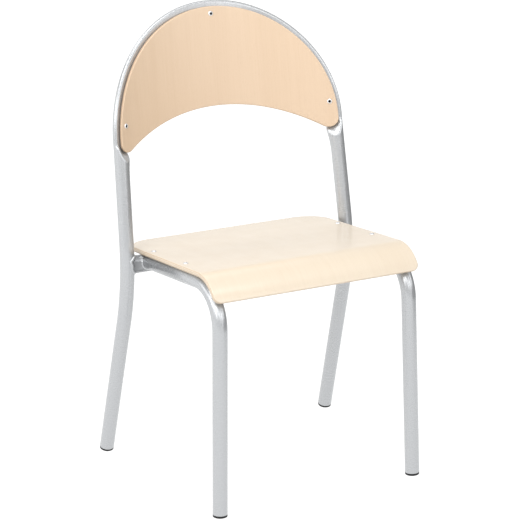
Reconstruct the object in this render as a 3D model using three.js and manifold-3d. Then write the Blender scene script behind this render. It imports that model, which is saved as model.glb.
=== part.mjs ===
// Stacking choir chair: two bent steel tubes for the sides, one arched tube for the back,
// a plywood seat with a rolled front edge and a bent plywood backrest, held by blind rivets.
// Millimetres, +Z up. The chair faces -Y and is symmetric about X = 0.
// Depths are given from the line midway between the front and the rear feet. The whole group is
// moved at the end, so that the origin is on the floor under the middle of the chair.

import * as THREE from 'three';
import { mergeVertices } from 'three/addons/utils/BufferGeometryUtils.js';
import Module from 'manifold-3d';

// Tube stock and fits
const tubeRadius = 14;
const tubeWall = 1.5;
const tubeSides = 20;
const boreSides = 16;
const gap = 0.3;
const boreOverrun = 5;
const blockSize = 3000;

// Rear frame: arch of the back, bent in its own tilted plane and bowed about the tilted upright
const backTilt = THREE.MathUtils.degToRad(8.23);
const archRadius = 234.67;
const archCentreDepth = 143.04;
const archCentreHeight = 633.74;
const bowRadius = 506.22;
const springAngle = THREE.MathUtils.degToRad(1.84);
const archSteps = 36;

// Rear frame: straight uprights, knee at the seat and splayed rear legs
const uprightLength = 278.5;
const kneeRadius = 374;
const kneeSteps = 8;
const rearFootHalfTrack = 251.4;
const rearFootDepth = 201.6;

// Rear frame: the arch is pressed wider inwards, and flat in front to seat the backrest. The flat
// ends a little below the backrest's corners
const pressedExtraWidth = 6.5;
const pressingStart = -75;
const pressingFull = -20;
const pressingPower = 2.2;
const pressingSteps = 6;
const ledgeForward = 1.3;
const flatMarginBelow = 2;
const flatMarginOutside = 16;
const flatMouth = 30;
const shareOfHalfWidth = 0.9999;

// Backrest: outline in its flat pattern, measured from the arch centre
const backOuterRadius = 237.2;
const backLowerArcCentre = -352;
const backLowerArcRadius = 396.7;
const backCornerRadius = 17;
const backCornerAcross = 220.19;
const backCornerUp = -1.77;
const backThickness = 8;
const backColumns = 44;

// Front legs and seat rails: one bent tube on each side
const frontFootHalfTrack = 209.65;
const frontFootDepth = -201.5;
const railFrontHalfSpan = 199.3;
const railRearHalfSpan = 203;
const frontCornerDepth = -184.5;
const railRearDepth = 100;
const frontBendRadius = 77.3;
const frontBendSteps = 10;

// Seat: flat board that falls to the back and rolls down at the front
const seatSlope = 0.0811;
const seatHeightAtFrontRivets = 445.75;
const frontRivetDepth = -55.7;
const rearRivetDepth = 73.4;
const seatThickness = 9.6;
const seatHalfWidth = 216.6;
const seatRearDepth = 183.8;
const seatRearCornerRadius = 55;
const seatRearCornerSteps = 8;
const seatRollStart = -131;
const seatRollRadius = 72.3;
const seatRollAngle = THREE.MathUtils.degToRad(69.5);
const seatRollSteps = 10;
const seatFrontCornerRadius = 15;
const seatFrontCornerSteps = 4;

// Cross tubes between the sides, both under the seat
const rearCrossDepth = 105;
const rearCrossHeight = 405.3;
const rearCrossTall = 35;
const rearCrossDeep = 20;
const rearCrossEndSides = 8;
const frontCrossDepth = -80;
const frontCrossRadius = 11;
const frontCrossSides = 20;
const crossHalfLength = 240;
const crossOverrun = 20;

// Weld beads at the joints of the tubes
const beadSize = 3;
const uprightBeadHalfSpan = 239.5;

// Floor glides: a cap under each tube end with a ribbed stem pushed into the bore
const glideRadius = 13.8;
const glideCapHeight = 4.5;
const glideChamfer = 1.2;
const glideStemLength = 18;
const glideStemCore = 10.4;
const glideRibs = 2;
const rearGlideFlat = 0.6;
const frontGlideFlat = 0.4;
const glideSides = 20;

// Blind rivets: domed head, shank, upset bulb behind the wall and the broken-off mandrel inside
const rivetHeadRadius = 5;
const rivetHeadHeight = 1.5;
const rivetShankRadius = 2.5;
const rivetBoreRadius = 1.35;
const mandrelRadius = 1.05;
const mandrelHeadRadius = 2.2;
const mandrelHeadLength = 2.6;
const mandrelSunk = 1;
const rivetHoleRadius = 2.8;
const rivetHoleOverrun = 3;
const rivetBulbRadius = 3.6;
const rivetBulbLength = 5;
const rivetLift = 0.35;
const rivetSides = 12;
const mandrelSides = 8;
const backRivetAcross = 222.4;
const backRivetUp = 31.9;
const topRivetUp = 223.25;

// Middle of the chair's depth, measured from the line midway between the feet
const middleOfDepth = 16.13;

const wasm = await Module();
wasm.setup();

const paint = new THREE.MeshStandardMaterial({ color: 0xc4c8c8, roughness: 0.38, metalness: 0.35 });
const seatPly = new THREE.MeshStandardMaterial({ color: 0xefdcc0, roughness: 0.35, metalness: 0 });
const backPly = new THREE.MeshStandardMaterial({ color: 0xe8d0b0, roughness: 0.35, metalness: 0 });
const zinc = new THREE.MeshStandardMaterial({ color: 0xb9bcbf, roughness: 0.35, metalness: 0.9 });
const darkSteel = new THREE.MeshStandardMaterial({ color: 0x4b4d50, roughness: 0.5, metalness: 0.8 });
const blackPlastic = new THREE.MeshStandardMaterial({ color: 0x17181a, roughness: 0.6, metalness: 0 });

function vec(x, y, z) {
  return new THREE.Vector3(x, y, z);
}

// Point at a distance along a direction
function along(point, direction, distance) {
  return point.clone().addScaledVector(direction, distance);
}

// Share of the full pressing at a height up the back
function pressingAt(up) {
  const share = (up - pressingStart) / (pressingFull - pressingStart);
  return THREE.MathUtils.clamp(share, 0, 1) ** pressingPower;
}

// Closed solid through rings with equal numbers of points, with a fan over each end
function loft(rings) {
  const sides = rings[0].length;
  const positions = [];
  const indices = [];
  for (const ring of rings) {
    for (const point of ring) {
      positions.push(point.x, point.y, point.z);
    }
  }
  for (let ring = 0; ring + 1 < rings.length; ring += 1) {
    for (let side = 0; side < sides; side += 1) {
      const a = ring * sides + side;
      const b = ring * sides + (side + 1) % sides;
      indices.push(a, b, b + sides);
      indices.push(a, b + sides, a + sides);
    }
  }
  const ends = [[0, true], [rings.length - 1, false]];
  for (const [ring, reversed] of ends) {
    const middle = vec(0, 0, 0);
    for (const point of rings[ring]) {
      middle.addScaledVector(point, 1 / sides);
    }
    const centre = positions.length / 3;
    positions.push(middle.x, middle.y, middle.z);
    for (let side = 0; side < sides; side += 1) {
      const a = ring * sides + side;
      const b = ring * sides + (side + 1) % sides;
      indices.push(centre, reversed ? b : a, reversed ? a : b);
    }
  }
  const geometry = new THREE.BufferGeometry();
  geometry.setAttribute('position', new THREE.Float32BufferAttribute(positions, 3));
  geometry.setIndex(indices);
  return facingOut(geometry);
}

// Turns the triangles round where the solid is inside out
function facingOut(geometry) {
  const position = geometry.attributes.position;
  const index = geometry.index.array;
  const a = vec(0, 0, 0);
  const b = vec(0, 0, 0);
  const c = vec(0, 0, 0);
  let volume = 0;
  for (let i = 0; i < index.length; i += 3) {
    a.fromBufferAttribute(position, index[i]);
    b.fromBufferAttribute(position, index[i + 1]);
    c.fromBufferAttribute(position, index[i + 2]);
    volume += a.dot(b.cross(c));
  }
  if (volume < 0) {
    for (let i = 0; i < index.length; i += 3) {
      const second = index[i + 1];
      index[i + 1] = index[i + 2];
      index[i + 2] = second;
    }
  }
  return geometry;
}

function solidOf(geometry) {
  const bare = geometry.clone();
  bare.deleteAttribute('normal');
  bare.deleteAttribute('uv');
  const merged = mergeVertices(bare, 1e-4);
  return new wasm.Manifold(new wasm.Mesh({
    numProp: 3,
    vertProperties: new Float32Array(merged.attributes.position.array),
    triVerts: new Uint32Array(merged.index.array),
  }));
}

function geometryOf(solid) {
  const mesh = solid.getMesh();
  const geometry = new THREE.BufferGeometry();
  geometry.setAttribute('position', new THREE.BufferAttribute(new Float32Array(mesh.vertProperties), 3));
  geometry.setIndex(new THREE.BufferAttribute(new Uint32Array(mesh.triVerts), 1));
  geometry.computeVertexNormals();
  return geometry;
}

// Stations round a bend of a given radius between two straight runs
function bendStations(before, corner, after, radius, steps) {
  const into = corner.clone().sub(before).normalize();
  const outOf = after.clone().sub(corner).normalize();
  const angle = into.angleTo(outOf);
  const start = along(corner, into, -radius * Math.tan(angle / 2));
  const inward = outOf.clone().addScaledVector(into, -into.dot(outOf)).normalize();
  const centre = along(start, inward, radius);
  const stations = [];
  for (let step = 0; step <= steps; step += 1) {
    const turn = angle * step / steps;
    const point = along(along(centre, inward, -radius * Math.cos(turn)), into, radius * Math.sin(turn));
    const tangent = into.clone().multiplyScalar(Math.cos(turn)).addScaledVector(inward, Math.sin(turn));
    stations.push({ point, tangent });
  }
  return stations;
}

// Section of a tube at a station: v looks to the front, u to the outside of the frame
function tubeRing(station, radius, extra, sides) {
  const v = station.front.clone().addScaledVector(station.tangent, -station.front.dot(station.tangent));
  v.normalize();
  const u = v.clone().cross(station.tangent);
  const ring = [];
  for (let side = 0; side < sides; side += 1) {
    const angle = 2 * Math.PI * side / sides;
    const wide = Math.cos(angle) < 0 ? radius + extra * (station.pressed || 0) : radius;
    ring.push(along(along(station.point, u, wide * Math.cos(angle)), v, radius * Math.sin(angle)));
  }
  return ring;
}

function tubeSolid(stations, radius, extra = 0, sides = tubeSides) {
  return solidOf(loft(stations.map((station) => tubeRing(station, radius, extra, sides))));
}

// Bore of a tube, longer than the tube, whose flat sides enclose the same area as a round bore
function boreSolid(stations, extra = 0) {
  const turn = 2 * Math.PI / boreSides;
  const radius = (tubeRadius - tubeWall) * Math.sqrt(turn / Math.sin(turn));
  return tubeSolid(lengthened(stations, boreOverrun), radius, extra, boreSides);
}

// The same stations with both ends pushed outwards along the tube
function lengthened(stations, distance) {
  const first = stations[0];
  const last = stations[stations.length - 1];
  return [
    { ...first, point: along(first.point, first.tangent, -distance) },
    ...stations.slice(1, -1),
    { ...last, point: along(last.point, last.tangent, distance) },
  ];
}

function cylinderAt(point, direction, radius, from, to, sides) {
  const geometry = new THREE.CylinderGeometry(radius, radius, to - from, sides);
  geometry.translate(0, (from + to) / 2, 0);
  geometry.applyQuaternion(new THREE.Quaternion().setFromUnitVectors(vec(0, 1, 0), direction));
  geometry.translate(point.x, point.y, point.z);
  return solidOf(geometry);
}

// Space of the backrest and the arch
const archCentre = vec(0, archCentreDepth, archCentreHeight);
const upTheBack = vec(0, Math.sin(backTilt), Math.cos(backTilt));
const behindTheBack = vec(0, Math.cos(backTilt), -Math.sin(backTilt));
const bowCentreForward = Math.sqrt(bowRadius ** 2 - archRadius ** 2);

// Point of the bowed back: across, up the slope, and forward of the axis of the arch tube
function backPoint(across, up, forward) {
  const behind = Math.sqrt((bowRadius - forward) ** 2 - across ** 2) - bowCentreForward;
  return along(along(archCentre, upTheBack, up), behindTheBack, behind).setX(across);
}

// Direction out of the front of the bowed back
function backFront(across) {
  const share = across / bowRadius;
  return vec(-share, 0, 0).addScaledVector(behindTheBack, -Math.sqrt(1 - share ** 2)).normalize();
}

// Arch, from the left spring to the right one
function archStations() {
  const stations = [];
  for (let step = 0; step <= archSteps; step += 1) {
    const angle = Math.PI - springAngle - (Math.PI - 2 * springAngle) * step / archSteps;
    const across = archRadius * Math.cos(angle);
    const behindRate = across * Math.sin(angle) * archRadius / Math.sqrt(bowRadius ** 2 - across ** 2);
    const tangent = vec(archRadius * Math.sin(angle), 0, 0);
    tangent.addScaledVector(upTheBack, -archRadius * Math.cos(angle));
    tangent.addScaledVector(behindTheBack, -behindRate);
    stations.push({
      point: backPoint(across, archRadius * Math.sin(angle), 0),
      tangent: tangent.normalize(),
      front: backFront(across),
      pressed: pressingAt(archRadius * Math.sin(angle)),
    });
  }
  return stations;
}

const arch = archStations();

// Corner of the knee: straight down from the spring of the arch, given for the left side
const leftSpring = arch[0];
const kneeCorner = along(leftSpring.point, leftSpring.tangent, -uprightLength);
const rearFootPoint = vec(-rearFootHalfTrack, rearFootDepth, 0);
const rearLegUp = kneeCorner.clone().sub(rearFootPoint).normalize();

// Distance up a leg from the floor to the end of its tube, for a glide that is cut flat below
function tubeEndUpLeg(legUp, flat) {
  const lean = Math.acos(legUp.z);
  const capDepth = gap + glideCapHeight;
  const bottomRadius = glideRadius - glideChamfer;
  return (capDepth * Math.cos(lean) + bottomRadius * Math.sin(lean) - flat) / Math.cos(lean);
}

const rearTubeEnd = along(rearFootPoint, rearLegUp, tubeEndUpLeg(rearLegUp, rearGlideFlat));

function leftSideStations() {
  const front = leftSpring.front;
  const stations = [{ point: rearTubeEnd, tangent: rearLegUp.clone(), front, pressed: 0 }];
  for (const station of bendStations(rearTubeEnd, kneeCorner, leftSpring.point, kneeRadius, kneeSteps)) {
    stations.push({ ...station, front, pressed: 0 });
  }
  const springUp = archRadius * Math.sin(springAngle);
  const slopeOfTangent = leftSpring.tangent.dot(upTheBack);
  for (let step = 0; step < pressingSteps; step += 1) {
    const up = THREE.MathUtils.lerp(pressingStart, springUp, step / pressingSteps);
    stations.push({
      point: along(leftSpring.point, leftSpring.tangent, (up - springUp) / slopeOfTangent),
      tangent: leftSpring.tangent.clone(),
      front,
      pressed: pressingAt(up),
    });
  }
  return stations;
}

function mirrored(vector) {
  return vec(-vector.x, vector.y, vector.z);
}

// The right side runs down, so its tangents are the mirrored ones turned round
function mirroredBack(stations) {
  return stations.map((station) => ({
    point: mirrored(station.point),
    tangent: mirrored(station.tangent).negate(),
    front: mirrored(station.front),
    pressed: station.pressed,
  })).reverse();
}

const leftSide = leftSideStations();
const rearTubeStations = [...leftSide, ...arch, ...mirroredBack(leftSide)];

// Left and right knees alone, for coping the cross tube and its weld beads
const leftKnee = leftSide.slice(1, kneeSteps + 2);
const kneeOf = { left: leftKnee, right: mirroredBack(leftKnee) };

// Upper edge of the backrest's flat pattern, grown by a margin
function backUpperEdge(across, margin) {
  return Math.sqrt(Math.max((backOuterRadius + margin) ** 2 - across ** 2, 0));
}

// Lower edge: a wide arc in the middle, and a round corner at each end
function backLowerEdge(across, margin) {
  const distance = Math.abs(across);
  const arcRadius = backLowerArcRadius - margin;
  const tangency = backCornerAcross * arcRadius / (backLowerArcRadius + backCornerRadius);
  if (distance < tangency) {
    return backLowerArcCentre + Math.sqrt(arcRadius ** 2 - distance ** 2);
  }
  const beyond = distance - backCornerAcross;
  return backCornerUp - Math.sqrt(Math.max((backCornerRadius + margin) ** 2 - beyond ** 2, 0));
}

// Solid with the outline of the backrest between two surfaces of the bowed back, grown by a margin
// outside its upper edge and by one below. The end columns stop just short of the tips, so that
// they keep a height of their own
function backSolid(marginOutside, marginBelow, behind, ahead) {
  const halfWidth = backCornerAcross + backCornerRadius + marginOutside;
  const rings = [];
  for (let column = 0; column <= backColumns; column += 1) {
    const turn = Math.PI * (column / backColumns - 0.5);
    const across = shareOfHalfWidth * halfWidth * Math.sin(turn);
    const upper = backUpperEdge(across, marginOutside);
    const lower = backLowerEdge(across, marginBelow);
    rings.push([
      backPoint(across, lower, behind),
      backPoint(across, upper, behind),
      backPoint(across, upper, ahead),
      backPoint(across, lower, ahead),
    ]);
  }
  return solidOf(loft(rings));
}

const backRear = ledgeForward + gap;
const backFace = backRear + backThickness;

// Rivet places: a point on the front of the board and the direction out of it
const backRivets = [
  ['backrest_rivet_left', -backRivetAcross, backRivetUp],
  ['backrest_rivet_right', backRivetAcross, backRivetUp],
  ['backrest_rivet_top', 0, topRivetUp],
].map(([name, across, up]) => ({
  name,
  point: backPoint(across, up, backFace),
  direction: backFront(across),
  grip: backThickness + gap + tubeWall,
}));

function seatTopHeight(depth) {
  return seatHeightAtFrontRivets - seatSlope * (depth - frontRivetDepth);
}

const seatUp = vec(0, seatSlope, 1).normalize();

// Rail axis, which lies a tube radius and a gap under the seat
const railBelowSeat = seatThickness + gap + tubeRadius;
function railAxis(depth) {
  const share = (depth - frontCornerDepth) / (railRearDepth - frontCornerDepth);
  const across = THREE.MathUtils.lerp(railFrontHalfSpan, railRearHalfSpan, share);
  const onTop = vec(across, depth, seatTopHeight(depth));
  return along(onTop, seatUp, -railBelowSeat);
}

const seatRivets = [];
for (const [side, sign] of [['left', -1], ['right', 1]]) {
  for (const [place, depth] of [['front', frontRivetDepth], ['rear', rearRivetDepth]]) {
    const across = railAxis(depth).x * sign;
    seatRivets.push({
      name: `seat_rivet_${place}_${side}`,
      point: vec(across, depth, seatTopHeight(depth)),
      direction: seatUp,
      grip: seatThickness + gap + tubeWall,
    });
  }
}

function rivetHole(rivet) {
  const depth = rivet.grip + rivetHoleOverrun;
  return cylinderAt(rivet.point, rivet.direction, rivetHoleRadius, -depth, rivetHoleOverrun, rivetSides);
}

// Adds a named piece in its place
const chair = new THREE.Group();
function addPiece(name, geometry, material) {
  const mesh = new THREE.Mesh(geometry, material);
  mesh.name = name;
  chair.add(mesh);
  return mesh;
}

// Rear frame tube: both rear legs, both uprights and the arch in one piece
function rearFrameTube() {
  const flat = backSolid(flatMarginOutside, flatMarginBelow, ledgeForward, flatMouth);
  const inside = ledgeForward - tubeWall;
  const flatOfBore = backSolid(flatMarginOutside, flatMarginBelow + tubeWall, inside, flatMouth);
  const outer = tubeSolid(rearTubeStations, tubeRadius, pressedExtraWidth).subtract(flat);
  const bore = boreSolid(rearTubeStations, pressedExtraWidth).subtract(flatOfBore);
  let tube = outer.subtract(bore);
  for (const rivet of backRivets) {
    tube = tube.subtract(rivetHole(rivet));
  }
  return geometryOf(tube);
}

addPiece('rear_frame_tube', rearFrameTube(), paint);

// Front leg and seat rail of one side, bent from one tube
const frontFootPoint = vec(frontFootHalfTrack, frontFootDepth, 0);
const frontCorner = railAxis(frontCornerDepth);
const frontLegUp = frontCorner.clone().sub(frontFootPoint).normalize();
const frontTubeEnd = along(frontFootPoint, frontLegUp, tubeEndUpLeg(frontLegUp, frontGlideFlat));

function frontTubeStations(sign) {
  const end = railAxis(railRearDepth);
  const railDirection = end.clone().sub(frontCorner).normalize();
  const front = vec(1, 0, 0);
  const stations = [{ point: frontTubeEnd, tangent: frontLegUp.clone(), front }];
  for (const station of bendStations(frontTubeEnd, frontCorner, end, frontBendRadius, frontBendSteps)) {
    stations.push({ ...station, front });
  }
  stations.push({ point: end, tangent: railDirection, front });
  return sign > 0 ? stations : mirroredBack(stations);
}

const frontTubes = { left: frontTubeStations(-1), right: frontTubeStations(1) };

// Flat-oval section of the rear cross tube, upright, and the round one of the front cross tube
function rearCrossSolid(growth, halfLength) {
  const radius = rearCrossDeep / 2 + growth;
  const flat = (rearCrossTall - rearCrossDeep) / 2;
  const outline = [];
  for (const [centre, start] of [[flat, 0], [-flat, Math.PI]]) {
    for (let step = 0; step <= rearCrossEndSides; step += 1) {
      const angle = start + Math.PI * step / rearCrossEndSides;
      outline.push([radius * Math.cos(angle), centre + radius * Math.sin(angle)]);
    }
  }
  const ringAt = (across) => outline.map(
    ([depth, height]) => vec(across, rearCrossDepth + depth, rearCrossHeight + height),
  );
  return solidOf(loft([ringAt(-halfLength), ringAt(halfLength)]));
}

function frontCrossSolid(growth, halfLength) {
  const middle = railAxis(frontCrossDepth);
  const across = vec(1, 0, 0);
  middle.setX(0);
  return cylinderAt(middle, across, frontCrossRadius + growth, -halfLength, halfLength, frontCrossSides);
}

// Everything on one side of a plane: a block far larger than the chair
function everythingBeyond(point, direction) {
  const block = new THREE.BoxGeometry(blockSize, blockSize, blockSize);
  block.applyQuaternion(new THREE.Quaternion().setFromUnitVectors(vec(0, 0, 1), direction));
  const centre = along(point, direction, blockSize / 2);
  block.translate(centre.x, centre.y, centre.z);
  return solidOf(block);
}

for (const side of ['left', 'right']) {
  const stations = frontTubes[side];
  let tube = tubeSolid(stations, tubeRadius).subtract(boreSolid(stations));
  tube = tube.subtract(rearCrossSolid(gap, crossHalfLength));
  for (const rivet of seatRivets.filter((entry) => entry.name.endsWith(side))) {
    tube = tube.subtract(rivetHole(rivet));
  }
  addPiece(`front_leg_and_rail_${side}`, geometryOf(tube), paint);
}

// Cross tubes, coped to the tubes that they meet
function copedTo(solid, stationsOfSides, growth) {
  let result = solid;
  for (const side of ['left', 'right']) {
    result = result.subtract(tubeSolid(stationsOfSides[side], tubeRadius + growth));
  }
  return result;
}

function rearCrossTube() {
  const bore = rearCrossSolid(-tubeWall, crossHalfLength + crossOverrun);
  const whole = rearCrossSolid(0, crossHalfLength).subtract(bore);
  return geometryOf(copedTo(whole, kneeOf, gap));
}

function frontCrossTube() {
  const bore = frontCrossSolid(-tubeWall, crossHalfLength + crossOverrun);
  const whole = frontCrossSolid(0, railFrontHalfSpan).subtract(bore);
  return geometryOf(copedTo(whole, frontTubes, gap));
}

addPiece('rear_cross_tube', rearCrossTube(), paint);
addPiece('front_cross_tube', frontCrossTube(), paint);

// Weld bead where a cross tube meets another tube: what is near both, less the tubes themselves
function weldBead(nearCross, cross, nearTube, tube, clearOf) {
  let bead = nearCross.intersect(nearTube).subtract(cross).subtract(tube);
  for (const solid of clearOf) {
    bead = bead.subtract(solid);
  }
  return bead;
}

const undersideOfSeat = along(vec(0, 0, seatTopHeight(0)), seatUp, -seatThickness - gap);

for (const [side, sign] of [['left', -1], ['right', 1]]) {
  const sameSide = everythingBeyond(vec(0, 0, 0), vec(sign, 0, 0));
  const seatSpace = everythingBeyond(undersideOfSeat, seatUp);
  const behindCross = everythingBeyond(vec(0, rearCrossDepth, 0), vec(0, 1, 0));
  const knee = kneeOf[side];
  const rail = frontTubes[side];
  const nearKnee = tubeSolid(knee, tubeRadius + gap + beadSize);
  const nearRail = tubeSolid(rail, tubeRadius + gap + beadSize);
  const kneeItself = tubeSolid(lengthened(knee, boreOverrun), tubeRadius + gap);
  const railItself = tubeSolid(lengthened(rail, boreOverrun), tubeRadius + gap);
  const rearCrossItself = rearCrossSolid(gap, crossHalfLength + crossOverrun);
  const frontCrossItself = frontCrossSolid(gap, crossHalfLength + crossOverrun);

  const nearRearCrossEnd = rearCrossSolid(gap + beadSize, uprightBeadHalfSpan);
  const uprightBead = weldBead(nearRearCrossEnd, rearCrossItself, nearKnee, kneeItself, []);
  addPiece(`weld_rear_cross_${side}`, geometryOf(uprightBead.intersect(sameSide)), paint);

  const nearRearCross = rearCrossSolid(gap + beadSize, crossHalfLength);
  const besideKnee = tubeSolid(knee, tubeRadius + 2 * gap + beadSize);
  const railClearOf = [behindCross, seatSpace, besideKnee];
  const railBead = weldBead(nearRearCross, rearCrossItself, nearRail, railItself, railClearOf);
  addPiece(`weld_rail_${side}`, geometryOf(railBead.intersect(sameSide)), paint);

  const nearFrontCross = frontCrossSolid(gap + beadSize, railFrontHalfSpan);
  const frontBead = weldBead(nearFrontCross, frontCrossItself, nearRail, railItself, [seatSpace]);
  addPiece(`weld_front_cross_${side}`, geometryOf(frontBead.intersect(sameSide)), paint);
}

// Seat: rings across the board, from the rear edge to the tip of the rolled front
function seatStations() {
  const rollStartTop = vec(0, seatRollStart, seatTopHeight(seatRollStart));
  const forward = vec(0, -1, seatSlope).normalize();
  const flatLength = vec(0, seatRearDepth, seatTopHeight(seatRearDepth)).distanceTo(rollStartTop);
  const rollLength = seatRollRadius * seatRollAngle;
  const distances = [];
  for (let step = 0; step <= seatRearCornerSteps; step += 1) {
    const turn = Math.PI / 2 * step / seatRearCornerSteps;
    distances.push(seatRearCornerRadius * (1 - Math.cos(turn)));
  }
  for (let step = 0; step <= seatRollSteps; step += 1) {
    const rollTo = rollLength - seatFrontCornerRadius;
    distances.push(flatLength + rollTo * step / seatRollSteps);
  }
  for (let step = 1; step <= seatFrontCornerSteps; step += 1) {
    const turn = Math.PI / 2 * step / seatFrontCornerSteps;
    distances.push(flatLength + rollLength - seatFrontCornerRadius * (1 - Math.sin(turn)));
  }
  return distances.map((distance) => {
    const fromRear = distance;
    const fromTip = flatLength + rollLength - distance;
    let halfWidth = seatHalfWidth;
    if (fromRear < seatRearCornerRadius) {
      const inside = seatRearCornerRadius - fromRear;
      halfWidth += Math.sqrt(seatRearCornerRadius ** 2 - inside ** 2) - seatRearCornerRadius;
    }
    if (fromTip < seatFrontCornerRadius) {
      const inside = seatFrontCornerRadius - fromTip;
      const across = Math.sqrt(Math.max(seatFrontCornerRadius ** 2 - inside ** 2, 0));
      halfWidth += across - seatFrontCornerRadius;
    }
    const rolled = Math.max(distance - flatLength, 0) / seatRollRadius;
    const flat = Math.min(distance, flatLength) - flatLength;
    const centre = along(rollStartTop, seatUp, -seatRollRadius);
    const outward = seatUp.clone().multiplyScalar(Math.cos(rolled));
    outward.addScaledVector(forward, Math.sin(rolled));
    const top = along(along(centre, outward, seatRollRadius), forward, flat);
    return { top, outward, halfWidth };
  });
}

function seatPanel() {
  const rings = seatStations().map(({ top, outward, halfWidth }) => {
    const under = along(top, outward, -seatThickness);
    return [
      vec(-halfWidth, top.y, top.z),
      vec(halfWidth, top.y, top.z),
      vec(halfWidth, under.y, under.z),
      vec(-halfWidth, under.y, under.z),
    ];
  });
  let seat = solidOf(loft(rings));
  for (const rivet of seatRivets) {
    seat = seat.subtract(rivetHole(rivet));
  }
  return geometryOf(seat);
}

function backrestPanel() {
  let panel = backSolid(0, 0, backRear, backFace);
  for (const rivet of backRivets) {
    panel = panel.subtract(rivetHole(rivet));
  }
  return geometryOf(panel);
}

addPiece('seat_panel', seatPanel(), seatPly);
addPiece('backrest_panel', backrestPanel(), backPly);

// Turned piece from a profile of radius and height pairs, set upright on a point
function turnedPiece(name, profile, sides, material, point, direction) {
  const geometry = new THREE.LatheGeometry(profile.map(([r, h]) => new THREE.Vector2(r, h)), sides);
  const mesh = addPiece(name, geometryOf(solidOf(geometry)), material);
  mesh.position.copy(point);
  mesh.quaternion.setFromUnitVectors(vec(0, 1, 0), direction);
  return mesh;
}

// Rivet bodies are open tubes, so their profile closes on itself
for (const rivet of [...backRivets, ...seatRivets]) {
  const seatOfHead = along(rivet.point, rivet.direction, rivetLift);
  const tail = -rivet.grip - 3 * rivetLift;
  const bodyProfile = [
    [rivetBoreRadius, rivetHeadHeight],
    [rivetHeadRadius * 0.55, rivetHeadHeight * 0.95],
    [rivetHeadRadius * 0.84, rivetHeadHeight * 0.6],
    [rivetHeadRadius, 0],
    [rivetShankRadius, 0],
    [rivetShankRadius, tail],
    [rivetBulbRadius, tail - rivetBulbLength * 0.25],
    [rivetBulbRadius, tail - rivetBulbLength * 0.7],
    [rivetShankRadius, tail - rivetBulbLength],
    [rivetBoreRadius, tail - rivetBulbLength],
    [rivetBoreRadius, rivetHeadHeight],
  ].reverse();
  turnedPiece(rivet.name, bodyProfile, rivetSides, zinc, seatOfHead, rivet.direction);
  const stubEnd = tail - rivetBulbLength - gap;
  const mandrelProfile = [
    [0, stubEnd - mandrelHeadLength],
    [mandrelHeadRadius * 0.6, stubEnd - mandrelHeadLength * 0.92],
    [mandrelHeadRadius, stubEnd - mandrelHeadLength * 0.55],
    [mandrelHeadRadius, stubEnd - mandrelHeadLength * 0.25],
    [mandrelRadius, stubEnd],
    [mandrelRadius, rivetHeadHeight - mandrelSunk],
    [0, rivetHeadHeight - mandrelSunk],
  ];
  const mandrelName = rivet.name.replace('rivet', 'mandrel');
  turnedPiece(mandrelName, mandrelProfile, mandrelSides, darkSteel, seatOfHead, rivet.direction);
}

// Glides: square to the leg, with the lowest edge cut flat on the floor
function glideSolid(tubeEnd, legUp) {
  const stemRadius = tubeRadius - tubeWall - gap;
  const bottom = -gap - glideCapHeight;
  const profile = [
    [0, bottom],
    [glideRadius - glideChamfer, bottom],
    [glideRadius, bottom + glideChamfer],
    [glideRadius, -gap],
    [glideStemCore, -gap],
  ];
  const pitch = glideStemLength / glideRibs;
  for (let rib = 0; rib < glideRibs; rib += 1) {
    const start = rib * pitch;
    profile.push([glideStemCore, start + pitch * 0.35]);
    profile.push([stemRadius, start + pitch * 0.5]);
    profile.push([stemRadius, start + pitch * 0.75]);
    profile.push([glideStemCore, start + pitch * 0.95]);
  }
  profile.push([0, glideStemLength]);
  const points = profile.map(([r, h]) => new THREE.Vector2(r, h));
  const geometry = new THREE.LatheGeometry(points, glideSides);
  geometry.applyQuaternion(new THREE.Quaternion().setFromUnitVectors(vec(0, 1, 0), legUp));
  geometry.translate(tubeEnd.x, tubeEnd.y, tubeEnd.z);
  return solidOf(geometry).subtract(everythingBeyond(vec(0, 0, 0), vec(0, 0, -1)));
}

for (const [side, sign] of [['left', -1], ['right', 1]]) {
  const turned = (vector, madeFor) => (madeFor === sign ? vector : mirrored(vector));
  const rear = glideSolid(turned(rearTubeEnd, -1), turned(rearLegUp, -1));
  const front = glideSolid(turned(frontTubeEnd, 1), turned(frontLegUp, 1));
  addPiece(`glide_rear_${side}`, geometryOf(rear), blackPlastic);
  addPiece(`glide_front_${side}`, geometryOf(front), blackPlastic);
}

chair.position.y = -middleOfDepth;

export default chair;
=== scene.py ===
# Visual model of a stacking choir chair: bent tube frame with a pressed arch, bent plywood boards,
# blind rivets, weld beads and moulded floor glides.
# Sizes are in millimetres, with depths from the line midway between the front and the rear feet.
# Everything is moved and scaled to metres in the row frame when its mesh is made.

import math
import bmesh
import bpy
import numpy as np
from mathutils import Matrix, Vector


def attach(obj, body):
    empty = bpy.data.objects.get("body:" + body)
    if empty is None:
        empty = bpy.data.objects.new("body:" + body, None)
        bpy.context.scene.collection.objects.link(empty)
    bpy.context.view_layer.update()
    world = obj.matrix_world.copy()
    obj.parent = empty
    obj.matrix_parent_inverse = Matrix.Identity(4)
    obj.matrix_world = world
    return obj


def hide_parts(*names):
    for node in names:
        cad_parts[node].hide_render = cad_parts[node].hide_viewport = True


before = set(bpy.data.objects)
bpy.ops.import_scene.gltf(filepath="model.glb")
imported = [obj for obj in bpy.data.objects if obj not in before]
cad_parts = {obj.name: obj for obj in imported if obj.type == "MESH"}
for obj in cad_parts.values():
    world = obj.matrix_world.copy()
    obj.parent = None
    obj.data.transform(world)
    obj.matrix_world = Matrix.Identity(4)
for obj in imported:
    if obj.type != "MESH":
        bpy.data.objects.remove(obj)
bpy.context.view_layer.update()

# Gap between pieces that rest on each other
PIECE_GAP = 0.3

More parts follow.
